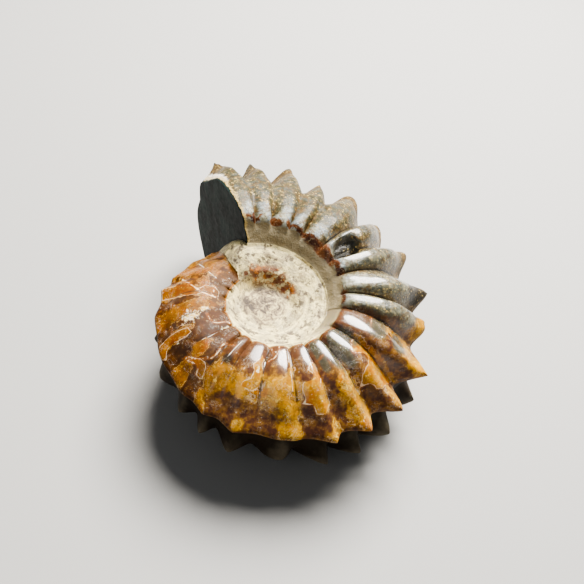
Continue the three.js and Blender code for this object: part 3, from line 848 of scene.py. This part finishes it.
# The venter and the lower flank: dull grey-brown shell, paler on the tubercles.
PEAT = (0.022, 0.015, 0.009, 1)
ASH = (0.11, 0.09, 0.06, 1)
VENTER_PLACES = (8.15, 8.5)  # places over which the flank gives way to the venter
dull = mix(PEAT, ASH, rise(crest * 0.6 + drift, 0.7, 1.2))
dull = shade(dull, 0.6 + 0.8 * grit)
below = highest(rise(place + sway(grit, 0.3), *VENTER_PLACES), rise(side, 0.6, -0.6))
whorl_colour = mix(whorl_colour, dull, below)

# Umbilical wall: smooth and tan; along its rim runs a rusty seam.
CLAY = (0.25, 0.205, 0.125, 1)
BONE = (0.52, 0.45, 0.28, 1)
FOXY = (0.25, 0.1, 0.02, 1)
IRON = (0.16, 0.058, 0.018, 1)
DARK_RUST = (0.055, 0.017, 0.009, 1)
WALLED_TO = (140, 165)  # whorl angles over which the wall sinks into the matrix
WALL_PLACES = (1.55, 1.8)  # places over which the tan wall gives way to the rim
SEAM_PLACE = 1.95  # the place of the rusty seam
walled = 1 - rise(whorl + sway(drift, 10), *WALLED_TO)
wall = 1 - rise(place + sway(blotch, 0.5), *WALL_PLACES)
whorl_colour = mix(whorl_colour, mix(CLAY, SLATE, rise(grit, 0.5, 0.8) * 0.7), wall)
rim_width = 0.13 + 0.17 * walled
seam_sway = (0.8 * walled + 0.15) * (drift - 0.5)
off_rim = maths("ABSOLUTE", place + seam_sway - SEAM_PLACE + 0.1 * walled)
rim_seam = (1 - rise(off_rim / rim_width, 0.5, 1)) * rise(blotch + 0.2 * (1 - walled), 0.49, 0.56)
rim_seam = highest(rim_seam, rise(rust_patch + sway(blotch, 0.8), 0.35, 0.6) * (1 - amber_share))
rusty = mix(FOXY, IRON, walled)
rusty = mix(rusty, DARK_RUST, rise(grit * 0.5 + drift * 0.5, 0.42, 0.56) * walled)
rusty = mix(rusty, BONE, rise(dust, 0.56, 0.64) * 0.4)
whorl_colour = mix(whorl_colour, rusty, rim_seam)

# The stone in the umbilicus: cream and mottled, greyer in the bowl, with polishing rings, and a rusty
# stain along the bowl's top wall that is partly painted shade.
CREAM = (0.84, 0.71, 0.37, 1)
LILAC = (0.1, 0.08, 0.066, 1)
STAIN_AND_SHADE = (0.13, 0.045, 0.028, 1)
MUSHROOM = (0.27, 0.205, 0.135, 1)
PEPPER = (0.08, 0.06, 0.04, 1)
BOWL_EDGE_MM = (2.4, 4)  # distances from the bowl's middle over which its grey fades
STAIN_AND_SHADE_MM = 4.2  # distance of the rusty stain from the bowl's middle
RING_TURN = 1.7  # how fast the polishing rings change round the bowl
RING_STEP = 1.3  # and outwards, for each millimetre
BOWL_AT = tuple(coil_to_table @ Vector((*BOWL_MIDDLE, 0)))
from_middle = node("ShaderNodeVectorMath", {"operation": "SUBTRACT"}, {0: where, 1: BOWL_AT})
flat = scaled(from_middle, (1000, 1000, 0))
bowl_mm = node("ShaderNodeVectorMath", {"operation": "LENGTH"}, {0: flat}, result="Value")
bowl_noisy = bowl_mm + sway(drift, 1.2)
outward = node("ShaderNodeVectorMath", {"operation": "NORMALIZE"}, {0: flat})
wound = node(
    "ShaderNodeVectorMath", {"operation": "ADD"},
    {0: scaled(outward, (RING_TURN, RING_TURN, 0)),
     1: node("ShaderNodeCombineXYZ", {}, {"Z": bowl_mm * RING_STEP})},
)
swirl = node(
    "ShaderNodeTexNoise", {},
    {"Vector": wound, "Scale": 1.0, "Detail": 5.0, "Roughness": 0.7, "Distortion": 0.8},
)
in_bowl = 1 - rise(bowl_noisy + sway(blotch, 1.5), *BOWL_EDGE_MM)
stone = mix(CREAM, BONE, rise(blotch, 0.42, 0.6) * 0.8)
mottle_clouds = cloud(size_mm=2, detail=5, roughness=0.7, distortion=0.6)
stone = mix(stone, MUSHROOM, rise(mottle_clouds, 0.5, 0.6) * 0.6)
stone = mix(stone, MUSHROOM, in_bowl * 0.9)
stone = mix(stone, LILAC, rise(swirl, 0.49, 0.57) * (0.3 + 0.65 * in_bowl))
stone = mix(stone, CREAM, rise(1 - swirl, 0.53, 0.6) * (0.9 - 0.3 * in_bowl))
lilac_clouds = cloud(size_mm=1.1, detail=5, roughness=0.75)
stone = mix(stone, LILAC, rise(lilac_clouds, 0.53, 0.6) * (1 - 0.5 * in_bowl) * 0.85)
northward = node("ShaderNodeSeparateXYZ", {}, {0: flat}, result="Y")
# A rusty stain along the bowl's top wall, darker there partly as painted shade under the step.
stain_and_shade = ridge(bowl_noisy, STAIN_AND_SHADE_MM, 1.3) * rise(northward + sway(blotch, 3), 1.7, 3.2)
stain_and_shade = stain_and_shade * rise(cloud(size_mm=0.9, detail=3), 0.4, 0.54)
stone = mix(stone, mix(STAIN_AND_SHADE, RUST, rise(grit, 0.5, 0.6)), stain_and_shade * 0.9)
stone = mix(stone, PEPPER, specks(size_mm=1.1, radius=0.14) * rise(drift, 0.48, 0.58) * 0.8)

# The break: dark grey-green stone.
BASALT = (0.003, 0.007, 0.006, 1)
MOSS = (0.0105, 0.023, 0.02, 1)
dark_stone = mix(BASALT, MOSS, rise(drift, 0.35, 0.7))
dark_stone = shade(dark_stone, 0.75 + 0.5 * grit)

# Where each lies. The matrix also covers the umbilical wall of the older ribs, and its stone runs
# out over the oldest of them.
STONE_FROM = (334, 340)  # whorl angles over which it comes to cover the flank
inner_fill = (1 - rise(place + sway(grit, 0.15), 1.75, 1.9)) * (1 - walled)
run_out = rise(whorl + sway(blotch, 14) - 2.2 * (place - 2), *STONE_FROM)
stone_share = highest(rise(cover + sway(blotch, 0.5), 0.42, 0.55), inner_fill, run_out) * (1 - below)
broken_share = rise(broken + sway(grit, 0.35), 0.36, 0.4)
colour = mix(mix(whorl_colour, stone, stone_share), dark_stone, broken_share)
broken_edge = ridge(broken + sway(grit, 0.35), 0.3, 0.11) * (1 - below) * rise(side, 0, 0.5)
colour = mix(colour, GRAIN, broken_edge * rise(dust, 0.4, 0.5) * 0.8)

# Gloss: full on the polished flank, less near the mouth, along the tubercles and on the oldest
# ribs, and none on the stone, the broken face and the lower side.
DULL_TO = (48, 78)  # whorl angles over which the dulled shell near the mouth ends
TUBERCLE_WEAR = (5.6, 7.2)  # places over which the outer flank loses its gloss
OLD_AXIS_FROM = (205, 230)  # whorl angles over which the inner ends of the ribs turn matte
COAT_SHARE = 0.9
COAT_ROUGHNESS = 0.12
SPECULAR = 0.35
MATTE_SPECULAR = 0.08
REFRACTION = 1.5
GLOW_SHARE = 0.3  # share of the light that passes under the amber's skin
GLOW_RADIUS = (1.0, 0.4, 0.1)  # how far red, green and blue travel there
GLOW_DEPTH = 0.0012  # metres that such a radius of 1 stands for
BUMP_HEIGHT = 0.001  # metres that a relief of 1 stands for
BUMP_STRENGTH = 0.8

near_mouth = 1 - rise(whorl, *DULL_TO)
worn = highest(near_mouth * 0.75, 0.9 * rise(place, *TUBERCLE_WEAR), 0.8 * old)
polish = (1 - stone_share) * (1 - broken_share) * (1 - 0.6 * below) * (1 - worn)
glassy = amber_share * (1 - stone_share)
roughness = 0.55 - 0.31 * polish + sway(grit, 0.3) * (1 - 0.6 * glassy)
relief = (0.26 * grit + 0.1 * dust) * (1 - 0.93 * glassy) * (1 - 0.75 * broken_share) + 0.03 * blotch
relief = relief - 0.05 * (1 - rise(crack, 0.02, 0.12)) + 0.06 * swirl * stone_share
bump = node("ShaderNodeBump", {}, {"Height": relief, "Distance": BUMP_HEIGHT, "Strength": BUMP_STRENGTH})

look = {"Base Color": colour, "Roughness": roughness, "Normal": bump}
look |= {"Coat Weight": COAT_SHARE * polish}
look |= {"Coat Roughness": COAT_ROUGHNESS, "IOR": REFRACTION, "Specular IOR Level": SPECULAR}
solid = node("ShaderNodeBsdfPrincipled", {}, look)
matte_look = look | {"Coat Weight": 0.0, "Specular IOR Level": MATTE_SPECULAR}
matte = node("ShaderNodeBsdfPrincipled", {}, matte_look)
look |= {"Subsurface Weight": GLOW_SHARE, "Subsurface Radius": GLOW_RADIUS}
look |= {"Subsurface Scale": GLOW_DEPTH}
translucent = node("ShaderNodeBsdfPrincipled", {}, look)
glow = glassy * (1 - broken_share) * (1 - below)
both = node("ShaderNodeMixShader", {}, {0: glow, 1: solid, 2: translucent})
near_axis = 1 - rise(place + sway(blotch, 1.2), 3.4, 5)
dull_share = highest(stone_share, broken_share, below, 0.85 * outer_strip)
dull_share = highest(dull_share, 0.6 * near_mouth, 0.97 * near_axis * rise(whorl, *OLD_AXIS_FROM))
both = node("ShaderNodeMixShader", {}, {0: dull_share, 1: both, 2: matte})
output = finish.node_tree.nodes.new("ShaderNodeOutputMaterial")
finish.node_tree.links.new(both.socket, output.inputs["Surface"])


# ---------------------------------------------------------------------------------------------
# Table and light: a plain table top in pale matt paint. A soft round lamp stands behind and above
# the fossil, a larger weak one in front of it to the left, and a little light comes from all round.

FLOOR_SIZE = 3.0
FLOOR_COLOUR = (0.34, 0.335, 0.325, 1)
FLOOR_ROUGHNESS = 0.7
SKY_COLOUR = (0.92, 0.96, 1, 1)
SKY_STRENGTH = 0.14
floor_form = bmesh.new()
bmesh.ops.create_grid(floor_form, x_segments=1, y_segments=1, size=FLOOR_SIZE / 2)
floor_mesh = bpy.data.meshes.new("floor")
floor_form.to_mesh(floor_mesh)
floor_form.free()
floor = bpy.data.objects.new("floor", floor_mesh)
floor_paint = bpy.data.materials.new("pale_paint")
floor_paint.use_nodes = True
floor_coat = floor_paint.node_tree.nodes["Principled BSDF"]
floor_coat.inputs["Base Color"].default_value = FLOOR_COLOUR
floor_coat.inputs["Roughness"].default_value = FLOOR_ROUGHNESS
floor_mesh.materials.append(floor_paint)
bpy.context.scene.collection.objects.link(floor)

world = bpy.data.worlds.new("studio")
world.use_nodes = True
sky = world.node_tree.nodes["Background"]
sky.inputs["Color"].default_value = SKY_COLOUR
sky.inputs["Strength"].default_value = SKY_STRENGTH
bpy.context.scene.world = world


def add_lamp(name, spot, size, power, colour):
    data = bpy.data.lights.new(name, "AREA")
    data.shape = "DISK"
    data.size = size
    data.energy = power
    data.color = colour
    lamp = bpy.data.objects.new(name, data)
    lamp.location = spot
    lamp.rotation_euler = Vector(spot).to_track_quat("Z", "Y").to_euler()
    bpy.context.scene.collection.objects.link(lamp)


add_lamp("key", spot=(0.04, 0.20, 0.30), size=0.25, power=6.8, colour=(1, 0.97, 0.92))
add_lamp("fill", spot=(-0.20, -0.35, 0.30), size=0.40, power=0.3, colour=(0.95, 0.97, 1))
